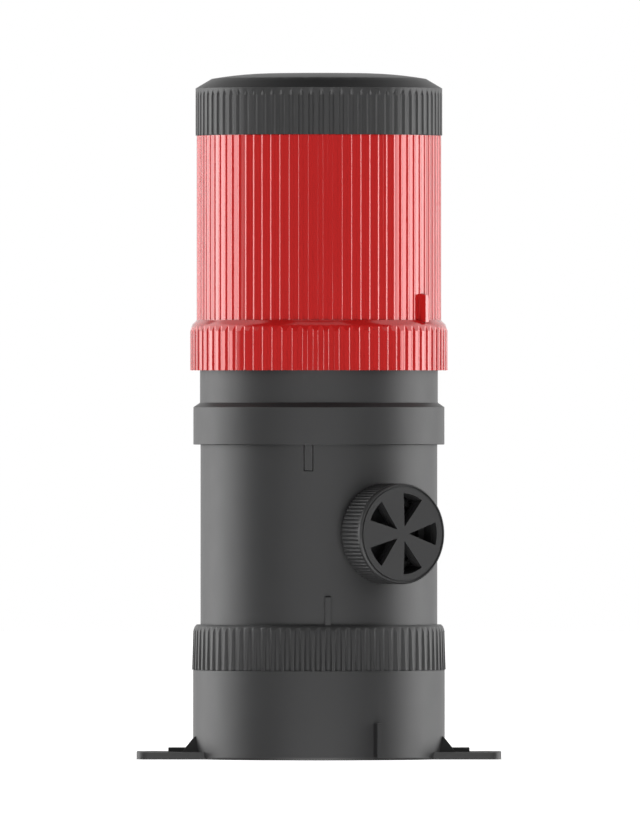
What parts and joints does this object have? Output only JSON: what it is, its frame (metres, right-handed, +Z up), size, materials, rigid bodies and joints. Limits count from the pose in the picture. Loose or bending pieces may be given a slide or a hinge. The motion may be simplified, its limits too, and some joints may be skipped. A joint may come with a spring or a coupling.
{
  "type": "signal tower light",
  "caption": "Upright signal tower with a ridged red light, a sounder with a slotted volume knob, twist-off knurled modules and a round base on two mounting ears.",
  "frame": {"origin": "on the tower axis in the mounting plane, midway between the two mounting holes", "axes": "+Z up the tower, +X along the mounting ears, -Y toward the front of the tower"},
  "size_m": [0.0992, 0.0778, 0.1867],
  "materials": {
    "black_plastic": "satin moulded",
    "black_rubber": "matt",
    "green_board": "satin",
    "green_plastic": "satin moulded",
    "steel": "satin",
    "brass": "satin",
    "contact_metal": "polished",
    "chip_plastic": "matt",
    "capacitor_sleeve": "gloss",
    "coil_wire": "varnished",
    "lead_sheath": "satin",
    "red_lens": "gloss",
    "white_board": "satin",
    "lamp_resin": "gloss"
  },
  "bodies": {
    "base": {"base_housing": "black_plastic", "cable_grommet": "black_rubber", "base_board": "green_board", "base_board_screws": "steel", "terminal_block": "green_plastic", "terminal_clamps": "brass", "terminal_screws": "steel", "base_contacts": "contact_metal", "base_seal": "black_rubber"},
    "sounder_module": {"sounder_housing": "black_plastic", "sounder_board": "green_board", "sounder_board_screws": "steel", "sounder_tracks": "contact_metal", "driver_chip": "chip_plastic", "storage_capacitor": "capacitor_sleeve", "boost_coil": "coil_wire", "bus_rods": "brass", "sounder_capsule": "chip_plastic", "sounder_gasket": "black_rubber", "sounder_leads": "lead_sheath", "baffle_plate": "black_plastic", "neck_coupler": "black_plastic", "neck_contacts": "contact_metal", "neck_seal": "black_rubber"},
    "volume_knob": {"volume_knob": "black_plastic", "knob_clip": "steel"},
    "light_module": {"lens": "red_lens", "light_carrier": "black_plastic", "light_tracks": "contact_metal", "led_boards": "white_board", "led_lamps": "lamp_resin", "light_rods": "brass", "light_deck": "black_plastic", "light_contacts": "contact_metal", "cap_seal": "black_rubber"},
    "cap": {"cap": "black_plastic"}
  },
  "joints": [
    {"name": "sounder_twist", "type": "hinge", "parent": "base", "child": "sounder_module", "pos_m": [0, 0, 0.0242], "axis": [0, 0, 1], "range_deg": [0, 23]},
    {"name": "volume_turn", "type": "hinge", "parent": "sounder_module", "child": "volume_knob", "pos_m": [0.01639, -0.02572, 0.06144], "axis": [0.5373, -0.8434, 0], "range_deg": [0, 36]},
    {"name": "lens_twist", "type": "hinge", "parent": "sounder_module", "child": "light_module", "pos_m": [0, 0, 0.1058], "axis": [0, 0, 1], "range_deg": [0, 23]},
    {"name": "cap_twist", "type": "hinge", "parent": "light_module", "child": "cap", "pos_m": [0, 0, 0.1697], "axis": [0, 0, 1], "range_deg": [0, 23]}
  ]
}
